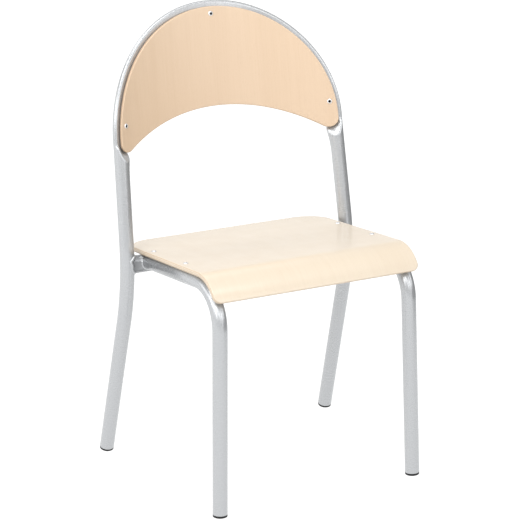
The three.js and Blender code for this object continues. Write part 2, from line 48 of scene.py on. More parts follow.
# Tube stock
TUBE_RADIUS = 14.0
TUBE_WALL = 1.5
TUBE_SIDES = 96
SECTION_START = -math.pi / 2
END_EDGE = 0.35
END_EDGE_STEPS = 4
BORE_EDGE = 0.3
BORE_SHOWN = 24.0

# Rear frame: arch in its tilted plane, bowed about the tilted upright
BACK_TILT = math.radians(8.23)
ARCH_RADIUS = 234.67
ARCH_CENTRE = np.array([0.0, 143.04, 633.74])
BOW_RADIUS = 506.22
SPRING_ANGLE = math.radians(1.84)
ARCH_STEPS = 230

# Rear frame: uprights, knee and rear legs
UPRIGHT_LENGTH = 278.5
KNEE_RADIUS = 374.0
KNEE_STEPS = 30
REAR_FOOT = np.array([-251.4, 201.6, 0.0])

# Rear frame: the arch is pressed wider inwards, and flat in front under the backrest. Where the
# pressing starts and is full are heights up the back from the arch's centre.
PRESSED_EXTRA = 6.5
PRESSED_OUTWARD = 0.8
OUTWARD_FULL = 10.0
PRESSING_START = -75.0
PRESSING_FULL = -20.0
PRESSING_POWER = 2.2
PRESSING_LEAD = 10.0
PRESSING_STEP = 1.5
FLAT_FORWARD = 1.3
FLAT_EDGE_RADIUS = 5.0
FLAT_MARGIN = 1.5
RAMP_SLOPE = 1.0
RAMP_BLEND = 0.6
RAMP_FACING = 0.45
SECTION_SAMPLES = 720
SECTION_HALVINGS = 22

# Backrest outline in its flat pattern
BACK_OUTER = 237.2
BACK_LOWER_CENTRE = -352.0
BACK_LOWER_RADIUS = 396.7
BACK_CORNER_RADIUS = 17.0
BACK_CORNER = np.array([220.19, -1.77])
BACK_THICKNESS = 8.0
BACK_EDGE = 2.0
BACK_COLUMNS = 260

# Front legs and rails
FRONT_FOOT = np.array([209.65, -201.5, 0.0])
RAIL_FRONT_HALF_SPAN = 199.3
RAIL_REAR_HALF_SPAN = 203.0
FRONT_CORNER_DEPTH = -184.5
RAIL_SPAN_DEPTH = 100.0
RAIL_END_SUNK = 0.4
FRONT_BEND_RADIUS = 77.3
FRONT_BEND_STEPS = 36

# Seat
SEAT_SLOPE = 0.0811
SEAT_HEIGHT = 445.75
FRONT_RIVET_DEPTH = -55.7
REAR_RIVET_DEPTH = 73.4
SEAT_THICKNESS = 9.6
SEAT_HALF_WIDTH = 216.6
SEAT_REAR_DEPTH = 183.8
SEAT_REAR_CORNER = 55.0
SEAT_REAR_CORNER_POINTS = 28
SEAT_FLAT_POINTS = 26
SEAT_ROLL_START = -131.0
SEAT_ROLL_RADIUS = 72.3
SEAT_ROLL_ANGLE = math.radians(69.5)
SEAT_ROLL_POINTS = 36
SEAT_FRONT_CORNER = 15.0
SEAT_FRONT_CORNER_POINTS = 14
SEAT_EDGE = 2.4

# Edges of both boards
EDGE_STEPS = 7
EDGE_LEVELS = 6
FACE_INSET = 0.8

# Cross tubes
REAR_CROSS_DEPTH = 105.0
REAR_CROSS_HEIGHT = 405.3
REAR_CROSS_TALL = 35.0
REAR_CROSS_DEEP = 20.0
REAR_CROSS_ARC_STEPS = 24
FRONT_CROSS_DEPTH = -80.0
FRONT_CROSS_RADIUS = 11.0
FRONT_CROSS_SIDES = 64
CROSS_END_SUNK = 0.3

# Weld beads
BEAD_RADIUS = 2.9
BEAD_SIDES = 14
BEAD_SINK = 0.9
BEAD_PITCH = 3.8
BEAD_RIPPLE = 0.4
BEAD_UNEVEN = 0.3
BEAD_UNEVEN_RATE = 0.37
BEAD_END_SHARE = 0.35
BEAD_END_LENGTH = 4.0
UPRIGHT_BEAD_ARC_STEPS = 60
UPRIGHT_BEAD_FLAT_STEPS = 30
RAIL_BEAD_START = math.radians(52)
RAIL_BEAD_END = math.radians(308)
RAIL_BEAD_POINTS = 150
RAIL_BEAD_DEPTH = 80.0
FRONT_CROSS_BEAD_POINTS = 110

# Glides
GLIDE_RADIUS = 13.8
GLIDE_CAP = 4.5
GLIDE_ROUND = 1.2
GLIDE_STEM = 18.0
GLIDE_STEM_CORE = 10.4
GLIDE_STEM_RIB = 12.1
GLIDE_SIDES = 64
REAR_GLIDE_FLAT = 0.6
FRONT_GLIDE_FLAT = 0.4

# Rivets: heights are above the board
RIVET_HEAD_RADIUS = 5.0
RIVET_HEAD_HEIGHT = 1.5
RIVET_HEAD_SIDES = 48
RIVET_SHANK = 2.5
RIVET_BORE = 1.35
RIVET_RECESS = 2.7
RIVET_RECESS_FLOOR = 0.2
RIVET_BURIED = -3.0
RIVET_LIFT = 0.1
BACK_RIVET_ACROSS = 222.4
BACK_RIVET_UP = 31.9
TOP_RIVET_UP = 223.25

# Mandrels: broken off in the recess of the rivet's head, drawn as near-black discs that fill it:
# painted shadow of the deep bore
MANDREL_SHANK = 1.05
MANDREL_BURIED = -2.8
MANDREL_RADIUS = 2.65
MANDREL_FOOT = 0.25
MANDREL_SUNK = 0.7
MANDREL_EDGE = 0.3
MANDREL_DISH = 0.15
MANDREL_SIDES = 24

# Row frame: the floor under the middle of the chair
MIDDLE_OF_DEPTH = 16.13
METRES = 0.001

# Colours
PAINT_COLOUR = (0.466, 0.476, 0.486)
ZINC_COLOUR = (0.86, 0.87, 0.88)
MANDREL_SHADOW_COLOUR = (0.008, 0.008, 0.009)
PLASTIC_COLOUR = (0.012, 0.012, 0.013)
# The seat's colours are paler and less saturated than the backrest's: painted light, for the
# stronger light on the seat's top; both boards are the same plywood
SEAT_LIGHT = (0.622, 0.538, 0.428)
SEAT_DARK = (0.598, 0.507, 0.395)
BACK_LIGHT = (0.594, 0.450, 0.318)
BACK_DARK = (0.566, 0.422, 0.293)

# Shades of a colour: shares of its red, green and blue
PAINT_DARKER = (0.97, 0.97, 0.975)
PAINT_LIGHTER = (1.03, 1.03, 1.03)
PAINT_CLOUDED = (0.93, 0.95, 0.97)
STEEL_DULL = (0.82, 0.82, 0.84)
PLASTIC_WORN = (1.7, 1.7, 1.7)
WOOD_LINE = (0.80, 0.72, 0.62)
WOOD_PORE = (0.62, 0.50, 0.38)
WOOD_CROSS = (0.80, 0.70, 0.58)
WOOD_GLUE = (0.55, 0.42, 0.30)
# Painted shade: the darker colour of the board edges near their rear faces, for the shadow where
# the boards sit on the frame
WOOD_PAINTED_SHADE = (0.40, 0.32, 0.26)

# Noise: the range that its usual values fill
NOISE_RANGE = (0.3, 0.7)

# Plywood: noise cells in a metre across, along and through the board
STREAK_CELLS = (14.0, 1.1, 40.0)
BAND_CELLS = (60.0, 2.2, 40.0)
LINE_CELLS = (900.0, 9.0, 300.0)
PORE_CELLS = (2600.0, 190.0, 900.0)
END_GRAIN_CELLS = (1500.0,) * 3
GLOSS_CELLS = (25.0,) * 3
LACQUER_CELLS = (220.0,) * 3
SEED_SHIFT = (1.7, 3.1, 0.9)

# Plywood faces: how much streaks and bands count, and where and how much lines and pores show
STREAK_SHARE = 0.55
BAND_SHARE = 0.45
LINE_RANGE = (0.42, 0.75)
LINE_STRENGTH = 0.14
PORE_RANGE = (0.64, 0.76)
PORE_STRENGTH = 0.22

# Plywood edges: plies counted through the board, and widths as shares of a ply
SEAT_PLIES = 7
BACK_PLIES = 5
PLY_WAVE = 0.35
PLY_CHANGE = (0.42, 0.58)
CROSS_RANGE = (0.35, 0.7)
CROSS_STRENGTH = 0.5
GLUE_WIDTH = 0.09
GLUE_STRENGTH = 0.5

# Plywood edges: depths where they replace the faces, shares of the thickness where painted shade
# darkens them
EDGE_SHOWN_FROM = 0.30
EDGE_SHOWN_FULL = 0.55
PAINTED_SHADE_FROM = 0.60
PAINTED_SHADE_FULL = 0.90
PAINTED_SHADE_STRENGTH = 0.75

# Lacquer
LACQUER_WEIGHT = 0.55
LACQUER_ROUGHNESS = 0.16
WOOD_ROUGHNESS = (0.30, 0.40)
EDGE_ROUGHER = 0.22

# Powder coat
PAINT_METALLIC = 0.65
PAINT_SPECULAR = 0.5
PAINT_ROUGHNESS = (0.22, 0.27)
FLAKE_RANGE = (0.35, 0.65)
FLAKE_ROUGHER = 0.05
CLOUD_STRENGTH = 0.12

# Plastic
PLASTIC_SPECULAR = 0.25
PLASTIC_ROUGHNESS = (0.42, 0.62)
SCUFF_RANGE = (0.55, 0.8)
SCUFF_STRENGTH = 0.5

# Studio: everything is in metres. The floor lies just below the glides.
WHITE = (1.0, 1.0, 1.0, 1.0)
MATT = 0.9
WORLD_STRENGTH = 0.56
FLOOR_REACH = 30.0
FLOOR_HEIGHT = -0.0002
FLOOR_COLOUR = 0.10
FLOOR_GLOW = 1.06

# Dark flag at the right
FLAG_AZIMUTH = 78
FLAG_DISTANCE = 1.5
FLAG_WIDTH = 4.2
FLAG_HEIGHT = 0.75
FLAG_COLOUR = 0.14

# Soft boxes: name, azimuth (0 in front, minus to the left) and elevation in degrees, watts
LIGHTS_AIM = (0.0, 0.0, 0.5)
SOFTBOX_DISTANCE = 4.0
SOFTBOX_SIDE = 1.6
SOFTBOXES = [
    ("key", -60, 25, 26.0),
    ("key_high", -35, 35, 18.5),
    ("front", -10, 25, 12.5),
    ("front_right", 20, 25, 14.0),
    ("front_high", -30, 60, 31.0),
    ("side", -90, 25, 24.5),
    ("side_high", -75, 55, 27.5),
    ("side_rear", -120, 20, 11.0),
    ("rear_left", -150, 50, 26.0),
    ("rear_right", 150, 50, 5.5),
    ("right", 55, 20, 11.0),
    ("right_high", 30, 60, 22.5),
    ("top", 0, 85, 24.0),
]

# Lit walls: name, azimuth in degrees, width, height of the lower edge, brightness
WALL_DISTANCE = 6.0
WALL_TOP = 3.0
WALLS = [
    ("back_wall", 151, 12.0, 0.0, 0.22),
    ("back_sheet", 150, 3.2, 0.0, 0.18),
    ("front_wall", -29, 12.0, 0.0, 0.19),
    ("front_right_wall", 30, 3.6, 0.75, 0.75),
    ("left_wall", -119, 12.0, 0.0, 0.41),
]

# Camera: place and lens fitted to the outlines in the photograph, and how far it sees in metres
CAMERA_AZIMUTH = math.radians(-29.0)
CAMERA_ELEVATION = math.radians(16.79)
CAMERA_DISTANCE = 4012.5
CAMERA_TARGET = (-14.25, 0.0, 410.35)
CAMERA_LENS = 145.92
CAMERA_SENSOR = 36.0
CAMERA_REACH = 100.0

SIDES = (("left", -1.0), ("right", 1.0))
SIDEWAYS = np.array([1.0, 0.0, 0.0])
FORWARD = np.array([0.0, -1.0, 0.0])
UP = np.array([0.0, 0.0, 1.0])


def unit(vector):
    vector = np.asarray(vector, float)
    return vector / np.linalg.norm(vector)


def ease(value, low, high):
    t = np.clip((value - low) / (high - low), 0.0, 1.0)
    return t * t * (3.0 - 2.0 * t)


def flip_across(sign):
    """Factors that keep points on their side, or move them to the other one."""
    return np.array([sign, 1.0, 1.0])


MIRROR = flip_across(-1.0)


def to_row(points):
    moved = np.asarray(points, float) - np.array([0.0, MIDDLE_OF_DEPTH, 0.0])
    return moved * METRES


def outward_faces(mesh):
    """Turns the faces of a closed mesh to point out."""
    work = bmesh.new()
    work.from_mesh(mesh)
    bmesh.ops.recalc_face_normals(work, faces=work.faces)
    work.to_mesh(mesh)
    work.free()


def add_piece(name, points, faces, material, node, board=None):
    """A smooth-shaded mesh that rides on the chair and replaces a node of the frame."""
    mesh = bpy.data.meshes.new(name)
    mesh.from_pydata([tuple(p) for p in to_row(points)], [], faces)
    mesh.validate()
    mesh.update()
    for polygon in mesh.polygons:
        polygon.use_smooth = True
    if board is not None:
        layer = mesh.attributes.new("board", "FLOAT_VECTOR", "POINT")
        layer.data.foreach_set("vector", (np.asarray(board) * METRES).astype(np.float32).ravel())
    outward_faces(mesh)
    piece = bpy.data.objects.new(name, mesh)
    bpy.context.scene.collection.objects.link(piece)
    piece.data.materials.append(material)
    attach(piece, "root")
    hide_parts(node)


def loop_faces(rings, sides, closed=False):
    """Quads between successive rings of equal size."""
    faces = []
    for ring in range(rings if closed else rings - 1):
        here = ring * sides
        there = (ring + 1) % rings * sides
        for side in range(sides):
            after = (side + 1) % sides
            faces.append((here + side, here + after, there + after, there + side))
    return faces


def lofted(rings):
    """Points and faces of rings joined in order, with a fan over each end."""
    sides = len(rings[0])
    points = [p for ring in rings for p in ring]
    faces = loop_faces(len(rings), sides)
    last = (len(rings) - 1) * sides
    first_middle = len(points)
    points += [np.mean(rings[0], axis=0), np.mean(rings[-1], axis=0)]
    for side in range(sides):
        after = (side + 1) % sides
        faces.append((first_middle, after, side))
        faces.append((first_middle + 1, last + side, last + after))
    return points, faces


def round_angles(sides, start=0.0):
    return 2 * math.pi * np.arange(sides) / sides + start


def circle(centre, sideways, forward, radius, angles):
    across = np.outer(radius * np.cos(angles), sideways)
    return centre + across + np.outer(radius * np.sin(angles), forward)


def length_along(points):
    """Length of a line of points up to each of them."""
    steps = np.linalg.norm(np.diff(points, axis=0), axis=1)
    return np.concatenate([[0.0], np.cumsum(steps)])


# Paths of the tubes

def bend_stations(before, corner, after, radius, steps):
    """Points and tangents round the bend that rounds a corner."""
    into = unit(corner - before)
    out_of = unit(after - corner)
    angle = math.acos(np.clip(into @ out_of, -1.0, 1.0))
    start = corner - into * radius * math.tan(angle / 2)
    inward = unit(out_of - into * (into @ out_of))
    centre = start + inward * radius
    stations = []
    for step in range(steps + 1):
        turn = angle * step / steps
        point = centre - inward * radius * math.cos(turn) + into * radius * math.sin(turn)
        tangent = into * math.cos(turn) + inward * math.sin(turn)
        stations.append((point, tangent))
    return stations


UP_BACK = np.array([0.0, math.sin(BACK_TILT), math.cos(BACK_TILT)])
BEHIND_BACK = np.array([0.0, math.cos(BACK_TILT), -math.sin(BACK_TILT)])
BOW_FORWARD = math.sqrt(BOW_RADIUS ** 2 - ARCH_RADIUS ** 2)


def back_point(across, up, forward):
    """Place on or in front of the bowed surface through the arch's axis."""
    behind = math.sqrt((BOW_RADIUS - forward) ** 2 - across ** 2) - BOW_FORWARD
    return ARCH_CENTRE + UP_BACK * up + BEHIND_BACK * behind + SIDEWAYS * across


def back_front(across):
    """Direction that the bowed surface faces."""
    share = across / BOW_RADIUS
    return unit(np.array([-share, 0.0, 0.0]) - BEHIND_BACK * math.sqrt(1.0 - share ** 2))


def arch_stations():
    """Points, tangents and forward directions along the arch, from left to right."""
    stations = []
    for step in range(ARCH_STEPS + 1):
        angle = math.pi - SPRING_ANGLE - (math.pi - 2 * SPRING_ANGLE) * step / ARCH_STEPS
        across = ARCH_RADIUS * math.cos(angle)
        up = ARCH_RADIUS * math.sin(angle)
        behind_rate = across * up / math.sqrt(BOW_RADIUS ** 2 - across ** 2)
        tangent = SIDEWAYS * up - UP_BACK * across - BEHIND_BACK * behind_rate
        stations.append((back_point(across, up, 0.0), unit(tangent), back_front(across)))
    return stations


ARCH = arch_stations()
SPRING_POINT, SPRING_TANGENT, SPRING_FRONT = ARCH[0]
KNEE_CORNER = SPRING_POINT - SPRING_TANGENT * UPRIGHT_LENGTH
REAR_LEG_UP = unit(KNEE_CORNER - REAR_FOOT)


def tube_end_up_leg(leg_up, flat):
    """Distance up the leg from the floor to the tube's end, which stands on its glide."""
    lean = math.acos(leg_up[2])
    cap = PIECE_GAP + GLIDE_CAP
    bottom = GLIDE_RADIUS - GLIDE_ROUND
    return (cap * math.cos(lean) + bottom * math.sin(lean) - flat) / math.cos(lean)


REAR_TUBE_END = REAR_FOOT + REAR_LEG_UP * tube_end_up_leg(REAR_LEG_UP, REAR_GLIDE_FLAT)
LEFT_KNEE = [
    (point, tangent, SPRING_FRONT) for point, tangent in
    bend_stations(REAR_TUBE_END, KNEE_CORNER, SPRING_POINT, KNEE_RADIUS, KNEE_STEPS)
]


def left_side_stations():
    """Rear tube from the left foot up to the arch."""
    stations = [(REAR_TUBE_END, REAR_LEG_UP, SPRING_FRONT)]
    stations += LEFT_KNEE
    spring_up = ARCH_RADIUS * math.sin(SPRING_ANGLE)
    slope = SPRING_TANGENT @ UP_BACK
    lowest = PRESSING_START - PRESSING_LEAD
    for up in np.arange(lowest, spring_up - PRESSING_STEP / 2, PRESSING_STEP):
        point = SPRING_POINT + SPRING_TANGENT * (up - spring_up) / slope
        stations.append((point, SPRING_TANGENT, SPRING_FRONT))
    return stations


def mirrored_back(stations):
    """The stations of the left side mirrored, from the arch down to the right foot."""
    return [(p * MIRROR, -t * MIRROR, f * MIRROR) for p, t, f in reversed(stations)]


LEFT_SIDE = left_side_stations()
REAR_STATIONS = LEFT_SIDE + ARCH + mirrored_back(LEFT_SIDE)


# Sections of the tubes

def section_axes(tangent, front):
    """Sideways and forward directions of a section, square to the tube."""
    forward = unit(front - tangent * (front @ tangent))
    return np.cross(forward, tangent), forward


def plain_ring(station, radius):
    point, tangent, front = station
    sideways, forward = section_axes(tangent, front)
    return circle(point, sideways, forward, radius, round_angles(TUBE_SIDES, SECTION_START))


def outline_distance(across, up):
    """Distance outside the backrest's outline, and how far that outline faces down there."""
    x = np.abs(across)
    from_corner = np.stack([x - BACK_CORNER[0], up - BACK_CORNER[1]], -1)
    reach = np.linalg.norm(from_corner, axis=-1)
    direction = from_corner / np.maximum(reach, 1e-6)[..., None]
    to_lower = unit(np.array([0.0, BACK_LOWER_CENTRE]) - BACK_CORNER)
    bearing = np.arctan2(-direction[..., 1], direction[..., 0])
    last = math.atan2(-to_lower[1], to_lower[0])
    first = math.atan2(-BACK_CORNER[1], BACK_CORNER[0])
    at_corner = (bearing >= first) & (bearing <= last)
    outer = np.hypot(x, up) - BACK_OUTER
    lower = BACK_LOWER_RADIUS - np.hypot(x, up - BACK_LOWER_CENTRE)
    distance = np.where(at_corner, reach - BACK_CORNER_RADIUS, np.maximum(outer, lower))
    faces_down = np.where(at_corner, np.clip(-direction[..., 1], 0.0, 1.0), (lower > outer) * 1.0)
    return distance, faces_down


def forward_of(points):
    """Offset in front of the bowed surface through the arch's axis, and the place on it."""
    local = points - ARCH_CENTRE
    across = local[..., 0]
    behind = local @ BEHIND_BACK + BOW_FORWARD
    return BOW_RADIUS - np.hypot(across, behind), across, local @ UP_BACK


def pressed_reach(point, spoke):
    """Share of each spoke of a section that the pressed flat under the backrest leaves."""
    low = np.zeros(len(spoke))
    high = np.ones(len(spoke))
    for _ in range(SECTION_HALVINGS):
        reach = 0.5 * (low + high)
        forward, across, up = forward_of(point + spoke * reach[:, None])
        distance, faces_down = outline_distance(across, up)
        outside = distance - FLAT_MARGIN
        slope = RAMP_SLOPE * ease(faces_down, 0.0, RAMP_FACING)
        limit = FLAT_FORWARD + slope * 0.5 * (outside + np.sqrt(outside ** 2 + RAMP_BLEND ** 2))
        past_round = (reach - 1.0) * TUBE_RADIUS + FLAT_EDGE_RADIUS
        past_flat = forward - limit + FLAT_EDGE_RADIUS
        corner = np.hypot(np.maximum(past_round, 0.0), np.maximum(past_flat, 0.0))
        nearest = np.minimum(np.maximum(past_round, past_flat), 0.0)
        inside = corner + nearest < FLAT_EDGE_RADIUS
        low = np.where(inside, reach, low)
        high = np.where(inside, high, reach)
    return reach


def evenly_spaced(ring, sides):
    """Points at equal steps round a ring."""
    closed = np.vstack([ring, ring[:1]])
    length = length_along(closed)
    places = length[-1] * np.arange(sides) / sides
    return np.stack([np.interp(places, length, closed[:, axis]) for axis in range(3)], -1)


def pressed_ring(station):
    """Section of the rear tube, widened and pressed flat where the backrest sits."""
    point, tangent, front = station
    sideways, forward = section_axes(tangent, front)
    angles = round_angles(SECTION_SAMPLES, SECTION_START)
    up_here = (point - ARCH_CENTRE) @ UP_BACK
    share = np.clip((up_here - PRESSING_START) / (PRESSING_FULL - PRESSING_START), 0.0, 1.0)
    inward = PRESSED_EXTRA * share ** PRESSING_POWER
    outward = PRESSED_OUTWARD * ease(up_here, PRESSING_FULL, OUTWARD_FULL)
    wide = np.where(np.cos(angles) < 0, TUBE_RADIUS + inward, TUBE_RADIUS + outward)
    spoke = np.outer(wide * np.cos(angles), sideways)
    spoke = spoke + np.outer(TUBE_RADIUS * np.sin(angles), forward)
    if up_here > PRESSING_START:
        spoke = spoke * pressed_reach(point, spoke)[:, None]
    return evenly_spaced(point + spoke, TUBE_SIDES)


def open_end(station, outwards):
    """Rings that round the rim of a tube end and run up its bore, from the outside inwards."""
    point, tangent, front = station
    away = tangent * outwards
    inner = TUBE_RADIUS - TUBE_WALL
    steps = []
    for turn in np.linspace(0.0, math.pi / 2, END_EDGE_STEPS + 1):
        back = END_EDGE * (1 - math.sin(turn))
        steps.append((back, TUBE_RADIUS - END_EDGE * (1 - math.cos(turn))))
    steps += [(0.0, inner + BORE_EDGE), (BORE_EDGE, inner), (BORE_SHOWN, inner)]
    return [plain_ring((point - away * back, tangent, front), radius) for back, radius in steps]


# Material nodes

def shader_nodes(name):
    material = bpy.data.materials.new(name)
    material.use_nodes = True
    tree = material.node_tree
    return material, tree, tree.nodes["Principled BSDF"]


def feed(tree, node, sockets):
    """Sets sockets of a node to values, or links the outputs of other nodes to them."""
    for socket, value in sockets.items():
        if isinstance(value, bpy.types.NodeSocket):
            tree.links.new(value, node.inputs[socket])
        else:
            node.inputs[socket].default_value = value


def math_node(tree, operation, *values):
    node = tree.nodes.new("ShaderNodeMath")
    node.operation = operation
    feed(tree, node, dict(enumerate(values)))
    return node.outputs[0]


def scaled(tree, vector, scale, offset):
    node = tree.nodes.new("ShaderNodeMapping")
    feed(tree, node, {"Vector": vector, "Scale": scale, "Location": offset})
    return node.outputs[0]


def noise(tree, vector, scale, detail, roughness=0.5, distortion=0.0):
    node = tree.nodes.new("ShaderNodeTexNoise")
    feed(tree, node, {
        "Vector": vector, "Scale": scale, "Detail": detail,
        "Roughness": roughness, "Distortion": distortion,
    })
    return node.outputs["Fac"]


def spread(tree, value, low, high, to_low=0.0, to_high=1.0):
    node = tree.nodes.new("ShaderNodeMapRange")
    feed(tree, node, {
        "Value": value, "From Min": low, "From Max": high, "To Min": to_low, "To Max": to_high,
    })
    return node.outputs[0]


def noise_between(tree, value, low, high):
    """Spreads the usual values of a noise between two others."""
    return spread(tree, value, *NOISE_RANGE, low, high)


def shade_of(colour, shares):
    return tuple(channel * share for channel, share in zip(colour, shares))


def blend_colour(tree, factor, first, second):
    """Mixes two colours, each a tuple or the output of a node."""
    node = tree.nodes.new("ShaderNodeMix")
    node.data_type = "RGBA"
    feed(tree, node, {0: factor})
    for socket, colour in ((6, first), (7, second)):
        if isinstance(colour, tuple):
            colour = colour + (1.0,)
        feed(tree, node, {socket: colour})
    return node.outputs[2]


def bump(tree, height, strength, distance, onto=None):
    node = tree.nodes.new("ShaderNodeBump")
    feed(tree, node, {"Height": height, "Strength": strength, "Distance": distance})
    if onto is not None:
        feed(tree, node, {"Normal": onto})
    return node.outputs[0]


def object_place(tree):
    return tree.nodes.new("ShaderNodeTexCoord").outputs["Object"]


# Materials

def veneer_colour(tree, streaks, bands, lines, pores, light, dark):
    """Face veneer: broad streaks and bands, with darker grain lines and pores."""
    streak_tone = noise_between(tree, streaks, 0.0, STREAK_SHARE)
    band_tone = noise_between(tree, bands, 0.0, BAND_SHARE)
    veneer = blend_colour(tree, math_node(tree, "ADD", streak_tone, band_tone), dark, light)
    line_mask = spread(tree, lines, *LINE_RANGE, 0.0, LINE_STRENGTH)
    veneer = blend_colour(tree, line_mask, veneer, shade_of(dark, WOOD_LINE))
    pore_mask = spread(tree, pores, *PORE_RANGE, 0.0, PORE_STRENGTH)
    return blend_colour(tree, pore_mask, veneer, shade_of(dark, WOOD_PORE))


def edge_colour(tree, depth, bands, end_grain, thickness, plies, light, dark):
    """Edge: long and cross plies in turn, thin glue lines, and painted shade darkening it towards
    the rear face.
    """
    layer = math_node(tree, "DIVIDE", depth, thickness * METRES / plies)
    wave = math_node(tree, "MULTIPLY", math_node(tree, "SUBTRACT", bands, 0.5), PLY_WAVE)
    parity = math_node(tree, "PINGPONG", math_node(tree, "ADD", layer, wave), 1.0)
    cross_tone = spread(tree, end_grain, *CROSS_RANGE, 0.0, CROSS_STRENGTH)
    cross = blend_colour(tree, cross_tone, shade_of(dark, WOOD_CROSS), dark)
    colour = blend_colour(tree, spread(tree, parity, *PLY_CHANGE), light, cross)
    from_glue = math_node(tree, "ABSOLUTE", math_node(tree, "SUBTRACT", parity, 0.5))
    glue = spread(tree, from_glue, 0.0, GLUE_WIDTH, GLUE_STRENGTH, 0.0)
    colour = blend_colour(tree, glue, colour, shade_of(dark, WOOD_GLUE))
    # Painted shade: the edge darkens towards the rear face, for the shadow where the board sits on
    # the frame
    painted_shade_from = thickness * PAINTED_SHADE_FROM * METRES
    painted_shade_full = thickness * PAINTED_SHADE_FULL * METRES
    painted_rear_shade = spread(tree, depth, painted_shade_from, painted_shade_full, 0.0, PAINTED_SHADE_STRENGTH)
    return blend_colour(tree, painted_rear_shade, colour, shade_of(dark, WOOD_PAINTED_SHADE))


def plywood(name, thickness, plies, light, dark, seed):
    """Lacquered plywood: veneer with grain and flecks on the faces, plies on the edges."""
    material, tree, shader = shader_nodes(name)
    attribute = tree.nodes.new("ShaderNodeAttribute")
    attribute.attribute_name = "board"
    board = attribute.outputs["Vector"]
    split = tree.nodes.new("ShaderNodeSeparateXYZ")
    tree.links.new(board, split.inputs[0])
    depth = split.outputs["Z"]
    offset = tuple(seed * shift for shift in SEED_SHIFT)

    def grain(cells, detail, roughness=0.5, distortion=0.0):
        return noise(tree, scaled(tree, board, cells, offset), 1.0, detail, roughness, distortion)

    streaks = grain(STREAK_CELLS, detail=3.0, roughness=0.55, distortion=0.6)
    bands = grain(BAND_CELLS, detail=3.0, roughness=0.6, distortion=0.3)
    lines = grain(LINE_CELLS, detail=2.0, roughness=0.6, distortion=0.2)
    pores = grain(PORE_CELLS, detail=1.0)
    end_grain = grain(END_GRAIN_CELLS, detail=2.0, roughness=0.6)
    gloss = grain(GLOSS_CELLS, detail=3.0)
    lacquer = grain(LACQUER_CELLS, detail=1.0)
    veneer = veneer_colour(tree, streaks, bands, lines, pores, light, dark)
    edge = edge_colour(tree, depth, bands, end_grain, thickness, plies, light, dark)
    below_face = spread(tree, depth, EDGE_SHOWN_FROM * METRES, EDGE_SHOWN_FULL * METRES)
    last_full = (thickness - EDGE_SHOWN_FULL) * METRES
    last_shown = (thickness - EDGE_SHOWN_FROM) * METRES
    above_rear = spread(tree, depth, last_full, last_shown, 1.0, 0.0)
    on_edge = math_node(tree, "MULTIPLY", below_face, above_rear)
    face_rough = noise_between(tree, gloss, *WOOD_ROUGHNESS)
    edge_rough = math_node(tree, "MULTIPLY", on_edge, EDGE_ROUGHER)
    relief = bump(tree, lines, strength=0.10, distance=0.0002)
    relief = bump(tree, pores, strength=0.12, distance=0.0001, onto=relief)
    relief = bump(tree, lacquer, strength=0.04, distance=0.0004, onto=relief)
    feed(tree, shader, {
        "Base Color": blend_colour(tree, on_edge, veneer, edge),
        "Roughness": math_node(tree, "ADD", face_rough, edge_rough),
        "Coat Weight": LACQUER_WEIGHT,
        "Coat Roughness": LACQUER_ROUGHNESS,
        "Normal": relief,
    })
    return material


def powder_coat(name, colour):
    """Satin silver powder coat: metallic flake, slight orange peel, patches of softer gloss."""
    material, tree, shader = shader_nodes(name)
    place = object_place(tree)
    flake = noise(tree, place, scale=2600.0, detail=2.0, roughness=0.6)
    cloud = noise(tree, place, scale=18.0, detail=3.0)
    peel = noise(tree, place, scale=420.0, detail=1.5, roughness=0.4)
    darker = shade_of(colour, PAINT_DARKER)
    lighter = shade_of(colour, PAINT_LIGHTER)
    tint = blend_colour(tree, spread(tree, flake, *FLAKE_RANGE), darker, lighter)
    clouded = noise_between(tree, cloud, 0.0, CLOUD_STRENGTH)
    tint = blend_colour(tree, clouded, tint, shade_of(colour, PAINT_CLOUDED))
    cloud_rough = noise_between(tree, cloud, *PAINT_ROUGHNESS)
    flake_rough = noise_between(tree, flake, 0.0, FLAKE_ROUGHER)
    relief = bump(tree, peel, strength=0.012, distance=0.0004)
    relief = bump(tree, flake, strength=0.006, distance=0.0001, onto=relief)
    feed(tree, shader, {
        "Base Color": tint,
        "Metallic": PAINT_METALLIC,
        "Specular IOR Level": PAINT_SPECULAR,
        "Roughness": math_node(tree, "ADD", cloud_rough, flake_rough),
        "Normal": relief,
    })
    return material


def plated_steel(name, colour, metallic, specular, smooth, rough):
    """Plated or plain steel with fine turning marks and dull patches."""
    material, tree, shader = shader_nodes(name)
    place = object_place(tree)
    patches = noise(tree, place, scale=900.0, detail=3.0)
    marks = noise(tree, place, scale=2400.0, detail=2.0)
    dulled = noise_between(tree, patches, 0.0, 1.0)
    feed(tree, shader, {
        "Base Color": blend_colour(tree, dulled, colour, shade_of(colour, STEEL_DULL)),
        "Metallic": metallic,
        "Specular IOR Level": specular,
        "Roughness": noise_between(tree, patches, smooth, rough),
        "Normal": bump(tree, marks, strength=0.08, distance=0.0001),
    })
    return material


def moulded_plastic(name, colour):
    """Black moulded plastic with a fine spark-eroded skin and scuffs."""
    material, tree, shader = shader_nodes(name)
    place = object_place(tree)
    skin = noise(tree, place, scale=1900.0, detail=3.0, roughness=0.6)
    scuff = noise(tree, place, scale=160.0, detail=4.0, roughness=0.7)
    worn = spread(tree, scuff, *SCUFF_RANGE, 0.0, SCUFF_STRENGTH)
    feed(tree, shader, {
        "Base Color": blend_colour(tree, worn, colour, shade_of(colour, PLASTIC_WORN)),
        "Specular IOR Level": PLASTIC_SPECULAR,
        "Roughness": noise_between(tree, scuff, *PLASTIC_ROUGHNESS),
        "Normal": bump(tree, skin, strength=0.15, distance=0.0002),
    })
    return material


def matt(name, grey):
    """Plain matt surface of the studio."""
    material, tree, shader = shader_nodes(name)
    feed(tree, shader, {"Base Color": (grey, grey, grey, 1.0), "Roughness": MATT})
    return material, shader


